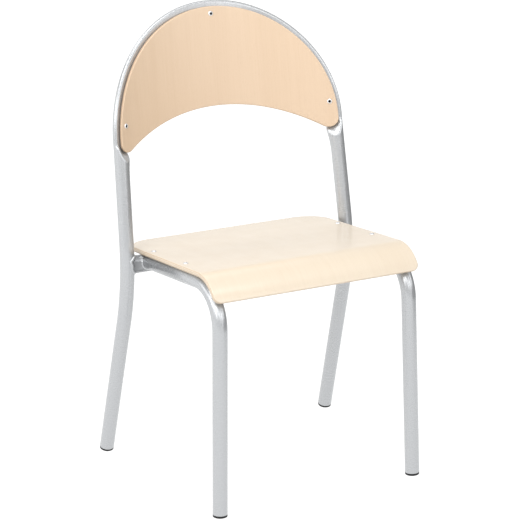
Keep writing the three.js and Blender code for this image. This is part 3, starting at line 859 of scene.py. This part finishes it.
PAINT = powder_coat("silver_powder_coat", PAINT_COLOUR)
SEAT_WOOD = plywood("seat_plywood", SEAT_THICKNESS, SEAT_PLIES, SEAT_LIGHT, SEAT_DARK, seed=1.0)
BACK_WOOD = plywood("backrest_plywood", BACK_THICKNESS, BACK_PLIES, BACK_LIGHT, BACK_DARK, seed=4.0)
ZINC = plated_steel("bright_zinc", ZINC_COLOUR, metallic=0.9, specular=0.5, smooth=0.22, rough=0.36)
# The mandrel's near-black colour is painted shadow of the rivet's deep bore, not the steel's own
# colour
MANDREL_PAINTED_SHADOW = plated_steel(
    "mandrel_steel", MANDREL_SHADOW_COLOUR, metallic=0.6, specular=0.1, smooth=0.7, rough=0.85)
BLACK = moulded_plastic("black_plastic", PLASTIC_COLOUR)


# Frame

def rear_frame():
    rings = open_end(REAR_STATIONS[0], -1.0)[::-1]
    rings += [pressed_ring(station) for station in REAR_STATIONS[1:-1]]
    rings += open_end(REAR_STATIONS[-1], 1.0)
    points, faces = lofted(rings)
    add_piece("frame_rear_tube", points, faces, PAINT, "rear_frame_tube")


rear_frame()


def seat_top(depth):
    """Height of the top of the flat seat."""
    return SEAT_HEIGHT - SEAT_SLOPE * (depth - FRONT_RIVET_DEPTH)


SEAT_UP = unit([0.0, SEAT_SLOPE, 1.0])
RAIL_BELOW = SEAT_THICKNESS + PIECE_GAP + TUBE_RADIUS


def rail_axis(depth):
    """Point of the right rail's axis."""
    share = (depth - FRONT_CORNER_DEPTH) / (RAIL_SPAN_DEPTH - FRONT_CORNER_DEPTH)
    across = RAIL_FRONT_HALF_SPAN + (RAIL_REAR_HALF_SPAN - RAIL_FRONT_HALF_SPAN) * share
    return np.array([across, depth, seat_top(depth)]) - SEAT_UP * RAIL_BELOW


FRONT_CORNER = rail_axis(FRONT_CORNER_DEPTH)
FRONT_LEG_UP = unit(FRONT_CORNER - FRONT_FOOT)
FRONT_TUBE_END = FRONT_FOOT + FRONT_LEG_UP * tube_end_up_leg(FRONT_LEG_UP, FRONT_GLIDE_FLAT)
RAIL_END = rail_axis(RAIL_SPAN_DEPTH)
RAIL_BACK = unit(RAIL_END - FRONT_CORNER)


def cross_front_depth(height):
    """Depth of the front of the flat-oval cross tube at a height."""
    radius = REAR_CROSS_DEEP / 2
    over = max(abs(height - REAR_CROSS_HEIGHT) - (REAR_CROSS_TALL - REAR_CROSS_DEEP) / 2, 0.0)
    return REAR_CROSS_DEPTH - math.sqrt(max(radius ** 2 - over ** 2, 0.0))


def front_leg(side, sign):
    """Front leg and rail in one, coped to the front of the rear cross tube."""
    bend = bend_stations(
        FRONT_TUBE_END, FRONT_CORNER, RAIL_END, FRONT_BEND_RADIUS, FRONT_BEND_STEPS)
    rings = open_end((FRONT_TUBE_END, FRONT_LEG_UP, SIDEWAYS), -1.0)[::-1]
    rings += [plain_ring((point, tangent, SIDEWAYS), TUBE_RADIUS) for point, tangent in bend]
    coped = []
    for point in plain_ring((RAIL_END, RAIL_BACK, SIDEWAYS), TUBE_RADIUS):
        reach = (cross_front_depth(point[2]) + RAIL_END_SUNK - point[1]) / RAIL_BACK[1]
        coped.append(point + RAIL_BACK * reach)
    rings.append(np.array(coped))
    points, faces = lofted(rings)
    if sign < 0:
        faces = [tuple(reversed(face)) for face in faces]
    add_piece(f"frame_front_tube_{side}", np.array(points) * flip_across(sign), faces,
              PAINT, f"front_leg_and_rail_{side}")


for side, sign in SIDES:
    front_leg(side, sign)


def knee_axis_at(height):
    """Left upright's axis at a height, from its knee stations."""
    axis = np.array([point for point, tangent, front in LEFT_KNEE])
    return np.array([np.interp(height, axis[:, 2], axis[:, column]) for column in range(3)])


def stadium(arc_steps, flat_steps=1):
    """Points and outward directions round the flat-oval section, as depth and height."""
    radius = REAR_CROSS_DEEP / 2
    flat = (REAR_CROSS_TALL - REAR_CROSS_DEEP) / 2
    places = []
    for centre, start in ((flat, 0.0), (-flat, math.pi)):
        for step in range(arc_steps + 1):
            angle = start + math.pi * step / arc_steps
            outward = (math.cos(angle), math.sin(angle))
            places.append(((radius * outward[0], centre + radius * outward[1]), outward))
        for step in range(1, flat_steps):
            height = centre * (1 - 2 * step / flat_steps)
            places.append(((radius * outward[0], height), outward))
    return places


def cross_on_upright(depth, height):
    """Where a line along the rear cross tube meets the left upright, and how the upright faces."""
    depth = REAR_CROSS_DEPTH + depth
    height = REAR_CROSS_HEIGHT + height
    axis = knee_axis_at(height)
    inward = math.sqrt(max(TUBE_RADIUS ** 2 - (depth - axis[1]) ** 2, 0.0))
    return np.array([axis[0] + inward, depth, height]), unit([inward, depth - axis[1], 0.0])


def cross_on_rail(turn):
    """Where a line along the front cross tube meets the left rail, and how both tubes face."""
    middle = rail_axis(FRONT_CROSS_DEPTH)
    radial = np.array([0.0, math.cos(turn), math.sin(turn)])
    offset = FRONT_CROSS_RADIUS * radial
    from_axis = offset - RAIL_BACK * (offset @ RAIL_BACK)
    inward = math.sqrt(TUBE_RADIUS ** 2 - from_axis[1] ** 2 - from_axis[2] ** 2)
    place = middle * MIRROR + offset + SIDEWAYS * inward
    return place, radial, unit([inward, from_axis[1], from_axis[2]])


def cross_tube(name, left_end, node):
    """A tube from its left end, sunk a little in its neighbour, to the same end mirrored."""
    left = np.array(left_end) - SIDEWAYS * CROSS_END_SUNK
    points, faces = lofted([left, left * MIRROR])
    add_piece(name, points, faces, PAINT, node)


cross_tube(
    "frame_rear_cross_tube",
    [cross_on_upright(*place)[0] for place, outward in stadium(REAR_CROSS_ARC_STEPS)],
    "rear_cross_tube")
cross_tube(
    "frame_front_cross_tube",
    [cross_on_rail(turn)[0] for turn in round_angles(FRONT_CROSS_SIDES)],
    "front_cross_tube")


# Weld beads

def bead(name, node, flip, seam, first_facing, second_facing, closed):
    """A rippled round bead along a seam, halfway between how the two surfaces there face."""
    outward = np.array([unit(a + b) for a, b in zip(first_facing, second_facing)])
    centres = np.array(seam) - outward * BEAD_SINK
    ahead = np.roll(centres, -1, axis=0) - np.roll(centres, 1, axis=0)
    if not closed:
        ahead[0] = centres[1] - centres[0]
        ahead[-1] = centres[-1] - centres[-2]
    length = length_along(centres)
    angles = round_angles(BEAD_SIDES)
    rings = []
    for centre, out, onward, place in zip(centres, outward, ahead, length):
        sideways, forward = section_axes(unit(onward), out)
        ripple = 0.5 + 0.5 * math.cos(2 * math.pi * place / BEAD_PITCH)
        uneven = math.sin(place * BEAD_UNEVEN_RATE)
        radius = BEAD_RADIUS + BEAD_RIPPLE * ripple + BEAD_UNEVEN * uneven
        if not closed:
            from_end = min(place, length[-1] - place)
            radius *= BEAD_END_SHARE + (1 - BEAD_END_SHARE) * ease(from_end, 0.0, BEAD_END_LENGTH)
        rings.append(circle(centre, sideways, forward, radius, angles))
    if closed:
        points = [p for ring in rings for p in ring]
        faces = loop_faces(len(rings), BEAD_SIDES, closed=True)
    else:
        points, faces = lofted(rings)
    add_piece(name, np.array(points) * flip, faces, PAINT, node)


def upright_weld(side, flip):
    section = stadium(UPRIGHT_BEAD_ARC_STEPS, UPRIGHT_BEAD_FLAT_STEPS)
    seam, upright_facing = zip(*[cross_on_upright(*place) for place, outward in section])
    cross_facing = [np.array([0.0, *outward]) for place, outward in section]
    bead(f"weld_bead_upright_{side}", f"weld_rear_cross_{side}", flip,
         seam, cross_facing, upright_facing, closed=True)


def rail_weld(side, flip):
    """The seam is found on the right rail and moved to the left one, where beads are built."""
    seam, rail_facing = [], []
    sideways, forward = section_axes(RAIL_BACK, UP)
    for turn in np.linspace(RAIL_BEAD_START, RAIL_BEAD_END, RAIL_BEAD_POINTS):
        radial = forward * math.cos(turn) + sideways * math.sin(turn)
        start = rail_axis(RAIL_BEAD_DEPTH) + radial * TUBE_RADIUS
        place = start + RAIL_BACK * (cross_front_depth(start[2]) - start[1]) / RAIL_BACK[1]
        seam.append(place * MIRROR)
        rail_facing.append(radial * MIRROR)
    bead(f"weld_bead_rail_{side}", f"weld_rail_{side}", flip,
         seam, rail_facing, [FORWARD] * len(seam), closed=False)


def front_cross_weld(side, flip):
    places = [cross_on_rail(turn) for turn in round_angles(FRONT_CROSS_BEAD_POINTS)]
    seam, cross_facing, rail_facing = zip(*places)
    bead(f"weld_bead_front_cross_{side}", f"weld_front_cross_{side}", flip,
         seam, cross_facing, rail_facing, closed=True)


for side, sign in SIDES:
    from_left = flip_across(-sign)
    upright_weld(side, from_left)
    rail_weld(side, from_left)
    front_cross_weld(side, from_left)


# Boards: loops round the outline, rounded over at the front and rear edges

def edge_loops(thickness, radius):
    """Inset of the outline and depth below the front face, from the front face to the rear one."""
    rounding = []
    for step in range(EDGE_STEPS + 1):
        angle = math.pi / 2 * step / EDGE_STEPS
        rounding.append((radius * (1 - math.sin(angle)), radius * (1 - math.cos(angle))))
    loops = [(radius + FACE_INSET, 0.0)] + rounding
    levels = np.linspace(radius, thickness - radius, EDGE_LEVELS)
    loops += [(0.0, depth) for depth in levels[1:-1]]
    loops += [(inset, thickness - depth) for inset, depth in reversed(rounding)]
    loops.append((radius + FACE_INSET, thickness))
    return loops


def board_piece(name, outline_at, place, thickness, radius, material, node):
    """A board from an outline of opposite points at each inset, placed on its bent surface."""
    loops = edge_loops(thickness, radius)
    flat = []
    for inset, depth in loops:
        flat += [(across, along, depth) for across, along in outline_at(inset)]
    points = [place(*spot) for spot in flat]
    count = len(flat) // len(loops)
    faces = loop_faces(len(loops), count)
    last = (len(loops) - 1) * count
    for index in range(count // 2 - 1):
        other = count - 1 - index
        faces.append((index, index + 1, other - 1, other))
        faces.append((last + index, last + other, last + other - 1, last + index + 1))
    add_piece(name, points, faces, material, node, flat)


def back_outline(inset):
    """Upper points from left to right, then lower points from right to left."""
    half_width = BACK_CORNER[0] + BACK_CORNER_RADIUS - inset
    turn = math.pi * ((np.arange(BACK_COLUMNS) + 0.5) / BACK_COLUMNS - 0.5)
    across = half_width * np.sin(turn)
    upper = np.sqrt((BACK_OUTER - inset) ** 2 - across ** 2)
    arc = BACK_LOWER_RADIUS + inset
    tangency = BACK_CORNER[0] * arc / (BACK_LOWER_RADIUS + BACK_CORNER_RADIUS)
    middle = BACK_LOWER_CENTRE + np.sqrt(np.maximum(arc ** 2 - across ** 2, 0.0))
    beyond = np.abs(across) - BACK_CORNER[0]
    drop = np.sqrt(np.maximum((BACK_CORNER_RADIUS - inset) ** 2 - beyond ** 2, 0.0))
    lower = np.where(np.abs(across) < tangency, middle, BACK_CORNER[1] - drop)
    return list(zip(across, upper)) + list(zip(across[::-1], lower[::-1]))


BACK_FACE = FLAT_FORWARD + PIECE_GAP + BACK_THICKNESS


def back_place(across, up, depth):
    """Place on the backrest, measured below its front face."""
    return back_point(across, up, BACK_FACE - depth)


board_piece(
    "backrest_board", back_outline, back_place,
    BACK_THICKNESS, BACK_EDGE, BACK_WOOD, "backrest_panel")

ROLL_START_TOP = np.array([0.0, SEAT_ROLL_START, seat_top(SEAT_ROLL_START)])
SEAT_FORWARD = unit([0.0, -1.0, SEAT_SLOPE])
SEAT_REAR_TOP = np.array([0.0, SEAT_REAR_DEPTH, seat_top(SEAT_REAR_DEPTH)])
SEAT_FLAT_LENGTH = float(np.linalg.norm(SEAT_REAR_TOP - ROLL_START_TOP))
SEAT_LENGTH = SEAT_FLAT_LENGTH + SEAT_ROLL_RADIUS * SEAT_ROLL_ANGLE
ROLL_CENTRE = ROLL_START_TOP - SEAT_UP * SEAT_ROLL_RADIUS


def seat_place(across, along, depth):
    """Place on the seat, measured along it from its rear edge and below its top face."""
    rolled = max(along - SEAT_FLAT_LENGTH, 0.0) / SEAT_ROLL_RADIUS
    flat = min(along, SEAT_FLAT_LENGTH) - SEAT_FLAT_LENGTH
    outward = SEAT_UP * math.cos(rolled) + SEAT_FORWARD * math.sin(rolled)
    point = ROLL_CENTRE + outward * (SEAT_ROLL_RADIUS - depth) + SEAT_FORWARD * flat
    return point + SIDEWAYS * across


def seat_outline(inset):
    """Right-hand points from rear to front, then the left-hand ones back."""
    right = []
    radius = SEAT_REAR_CORNER - inset
    for turn in np.linspace(0.0, math.pi / 2, SEAT_REAR_CORNER_POINTS):
        x = SEAT_HALF_WIDTH - SEAT_REAR_CORNER + radius * math.sin(turn)
        right.append((x, SEAT_REAR_CORNER - radius * math.cos(turn)))
    flat = np.linspace(SEAT_REAR_CORNER, SEAT_FLAT_LENGTH, SEAT_FLAT_POINTS)
    roll = np.linspace(SEAT_FLAT_LENGTH, SEAT_LENGTH - SEAT_FRONT_CORNER, SEAT_ROLL_POINTS)
    for along in [*flat[1:], *roll[1:]]:
        right.append((SEAT_HALF_WIDTH - inset, along))
    radius = SEAT_FRONT_CORNER - inset
    for turn in np.linspace(0.0, math.pi / 2, SEAT_FRONT_CORNER_POINTS)[1:]:
        x = SEAT_HALF_WIDTH - SEAT_FRONT_CORNER + radius * math.cos(turn)
        right.append((x, SEAT_LENGTH - SEAT_FRONT_CORNER + radius * math.sin(turn)))
    left = [(-x, along) for x, along in reversed(right)]
    return right + left


board_piece(
    "seat_board", seat_outline, seat_place,
    SEAT_THICKNESS, SEAT_EDGE, SEAT_WOOD, "seat_panel")


# Turned pieces: rivets and glides, from pairs of a radius and a height

# A direction that no piece is turned about, and the radius of a ring that stands for a point
ASKEW = np.array([0.31, 0.87, 0.11])
SMALLEST_RING = 0.02


def turned(name, profile, point, direction, sides, material, node, on_floor=False):
    """A closed piece turned about a direction through a point, cut flat if it is on the floor."""
    direction = unit(direction)
    side = unit(np.cross(direction, ASKEW))
    other = np.cross(direction, side)
    angles = round_angles(sides)
    rings = []
    for radius, height in profile:
        ring = circle(point + direction * height, side, other, max(radius, SMALLEST_RING), angles)
        if on_floor:
            ring[:, 2] = np.maximum(ring[:, 2], 0.0)
        rings.append(ring)
    points, faces = lofted(rings)
    add_piece(name, points, faces, material, node)


# Up the bore and the recess, over the dome and down the shank
RIVET_PROFILE = [
    (RIVET_BORE, RIVET_BURIED),
    (RIVET_BORE, RIVET_RECESS_FLOOR),
    (RIVET_RECESS, RIVET_RECESS_FLOOR),
    (RIVET_RECESS, 0.9),
    (RIVET_RECESS + 0.03, 1.25),
    (RIVET_RECESS + 0.14, 1.43),
    (RIVET_RECESS + 0.4, RIVET_HEAD_HEIGHT),
    (3.5, 1.41), (3.85, 1.22), (4.2, 0.97), (4.55, 0.66), (4.85, 0.35),
    (RIVET_HEAD_RADIUS, 0.12),
    (RIVET_HEAD_RADIUS, 0.0),
    (RIVET_SHANK, 0.0),
    (RIVET_SHANK, RIVET_BURIED),
]
# Up the shank to the slightly dished face where it broke
MANDREL_TOP = RIVET_HEAD_HEIGHT - MANDREL_SUNK
MANDREL_PROFILE = [
    (0.0, MANDREL_BURIED),
    (MANDREL_SHANK, MANDREL_BURIED),
    (MANDREL_SHANK, MANDREL_FOOT),
    (MANDREL_RADIUS, MANDREL_FOOT),
    (MANDREL_RADIUS, MANDREL_TOP - MANDREL_EDGE),
    (MANDREL_RADIUS * 0.75, MANDREL_TOP),
    (0.0, MANDREL_TOP - MANDREL_DISH),
]
# Over the bottom, up the rounded side, and up the ribbed stem
GLIDE_PROFILE = [
    (0.0, -GLIDE_CAP), (9.0, -GLIDE_CAP),
    (GLIDE_RADIUS - GLIDE_ROUND, -GLIDE_CAP),
    (GLIDE_RADIUS - GLIDE_ROUND * 0.75, -GLIDE_CAP + 0.04),
    (GLIDE_RADIUS - GLIDE_ROUND * 0.4, -GLIDE_CAP + 0.3),
    (GLIDE_RADIUS - GLIDE_ROUND * 0.12, -GLIDE_CAP + 0.75),
    (GLIDE_RADIUS, -GLIDE_CAP + GLIDE_ROUND),
    (GLIDE_RADIUS, -PIECE_GAP - 0.25),
    (GLIDE_RADIUS - 0.12, -PIECE_GAP - 0.06),
    (GLIDE_RADIUS - 0.35, -PIECE_GAP),
    (GLIDE_STEM_RIB, -PIECE_GAP), (GLIDE_STEM_RIB, 1.5),
    (GLIDE_STEM_CORE, 3.0), (GLIDE_STEM_CORE, 4.0),
    (GLIDE_STEM_RIB, 4.8), (GLIDE_STEM_RIB, 7.0),
    (GLIDE_STEM_CORE, 9.0), (GLIDE_STEM_CORE, 13.0),
    (GLIDE_STEM_RIB, 13.8), (GLIDE_STEM_RIB, 16.0),
    (GLIDE_STEM_CORE, GLIDE_STEM), (0.0, GLIDE_STEM),
]


def rivet(name, point, direction):
    base = point + unit(direction) * RIVET_LIFT
    mandrel = name.replace("rivet", "mandrel")
    turned(f"{name}_body", RIVET_PROFILE, base, direction, RIVET_HEAD_SIDES,
           ZINC, name)
    turned(f"{mandrel}_stub", MANDREL_PROFILE, base, direction, MANDREL_SIDES,
           MANDREL_PAINTED_SHADOW, mandrel)


for side, sign in SIDES:
    across = BACK_RIVET_ACROSS * sign
    front = back_point(across, BACK_RIVET_UP, BACK_FACE)
    rivet(f"backrest_rivet_{side}", front, back_front(across))
    for place, depth in (("front", FRONT_RIVET_DEPTH), ("rear", REAR_RIVET_DEPTH)):
        top = np.array([rail_axis(depth)[0] * sign, depth, seat_top(depth)])
        rivet(f"seat_rivet_{place}_{side}", top, SEAT_UP)
rivet("backrest_rivet_top", back_point(0.0, TOP_RIVET_UP, BACK_FACE), back_front(0.0))


def glide(place, side, tube_end, leg_up):
    turned(f"glide_cap_{place}_{side}", GLIDE_PROFILE, tube_end, leg_up, GLIDE_SIDES,
           BLACK, f"glide_{place}_{side}", on_floor=True)


for side, sign in SIDES:
    from_left = flip_across(-sign)
    from_right = flip_across(sign)
    glide("rear", side, REAR_TUBE_END * from_left, REAR_LEG_UP * from_left)
    glide("front", side, FRONT_TUBE_END * from_right, FRONT_LEG_UP * from_right)


# Studio: floor, flag, lights and world

def studio_plane(name, corners, material):
    """A flat surface of the studio, which isn't part of the chair."""
    mesh = bpy.data.meshes.new(name)
    mesh.from_pydata(corners, [], [(0, 1, 2, 3)])
    plane = bpy.data.objects.new(name, mesh)
    plane.data.materials.append(material)
    bpy.context.scene.collection.objects.link(plane)
    return plane


def white_floor():
    """A matt floor that glows a little, so that it is white all over."""
    material, shader = matt("pale_floor", FLOOR_COLOUR)
    feed(material.node_tree, shader, {
        "Specular IOR Level": 0.0, "Emission Color": WHITE, "Emission Strength": FLOOR_GLOW,
    })
    corners = [
        (x * FLOOR_REACH, y * FLOOR_REACH, FLOOR_HEIGHT)
        for x, y in ((-1, -1), (1, -1), (1, 1), (-1, 1))
    ]
    floor = studio_plane("floor", corners, material)


def light_place(azimuth, elevation, distance):
    """Place on a sphere about the point that the lights aim at."""
    turn = math.radians(azimuth)
    rise = math.radians(elevation)
    return (
        distance * math.sin(turn) * math.cos(rise),
        -distance * math.cos(turn) * math.cos(rise),
        LIGHTS_AIM[2] + distance * math.sin(rise),
    )


def dark_flag():
    """The right sides of the uprights reflect this flag. Like the lights it isn't seen itself."""
    x, y = light_place(FLAG_AZIMUTH, 0, FLAG_DISTANCE)[:2]
    half_x = math.cos(math.radians(FLAG_AZIMUTH)) * FLAG_WIDTH / 2
    half_y = math.sin(math.radians(FLAG_AZIMUTH)) * FLAG_WIDTH / 2
    ends = ((x - half_x, y - half_y), (x + half_x, y + half_y))
    corners = [(*end, 0.0) for end in ends] + [(*end, FLAG_HEIGHT) for end in reversed(ends)]
    material, shader = matt("dark_flag", FLAG_COLOUR)
    flag = studio_plane("flag", corners, material)
    flag.visible_camera = False


def stand(thing, place, facing):
    """Puts a light or a camera in the scene at a place, facing a direction."""
    thing.location = place
    thing.rotation_mode = "QUATERNION"
    thing.rotation_quaternion = facing.to_track_quat("-Z", "Y")
    bpy.context.scene.collection.objects.link(thing)


def soft_light(name, shape, position, target, width, height, power):
    data = bpy.data.lights.new(name, "AREA")
    data.shape = shape
    data.size = width
    data.size_y = height
    data.energy = power
    light = bpy.data.objects.new(name, data)
    light.visible_camera = False
    stand(light, position, Vector(target) - Vector(position))


white_floor()
for name, azimuth, elevation, power in SOFTBOXES:
    position = light_place(azimuth, elevation, SOFTBOX_DISTANCE)
    soft_light(name, "ELLIPSE", position, LIGHTS_AIM, SOFTBOX_SIDE, SOFTBOX_SIDE, power)
for name, azimuth, width, bottom, brightness in WALLS:
    x, y = light_place(azimuth, 0, WALL_DISTANCE)[:2]
    height = WALL_TOP - bottom
    middle = (WALL_TOP + bottom) / 2
    power = brightness * math.pi * width * height
    soft_light(name, "RECTANGLE", (x, y, middle), (0.0, 0.0, middle), width, height, power)
dark_flag()

world = bpy.data.worlds.new("studio")
bpy.context.scene.world = world
world.use_nodes = True
background = world.node_tree.nodes["Background"]
feed(world.node_tree, background, {"Color": WHITE, "Strength": WORLD_STRENGTH})
bpy.context.scene.view_settings.view_transform = "Standard"
bpy.context.scene.view_settings.look = "None"


def photograph_camera():
    data = bpy.data.cameras.new("camera")
    data.lens = CAMERA_LENS
    data.sensor_width = CAMERA_SENSOR
    data.clip_end = CAMERA_REACH
    camera = bpy.data.objects.new("camera", data)
    back = np.array([
        math.sin(CAMERA_AZIMUTH) * math.cos(CAMERA_ELEVATION),
        -math.cos(CAMERA_AZIMUTH) * math.cos(CAMERA_ELEVATION),
        math.sin(CAMERA_ELEVATION),
    ])
    place = to_row(np.array(CAMERA_TARGET) + back * CAMERA_DISTANCE)
    stand(camera, Vector(place), Vector(-back))
    bpy.context.scene.camera = camera


photograph_camera()
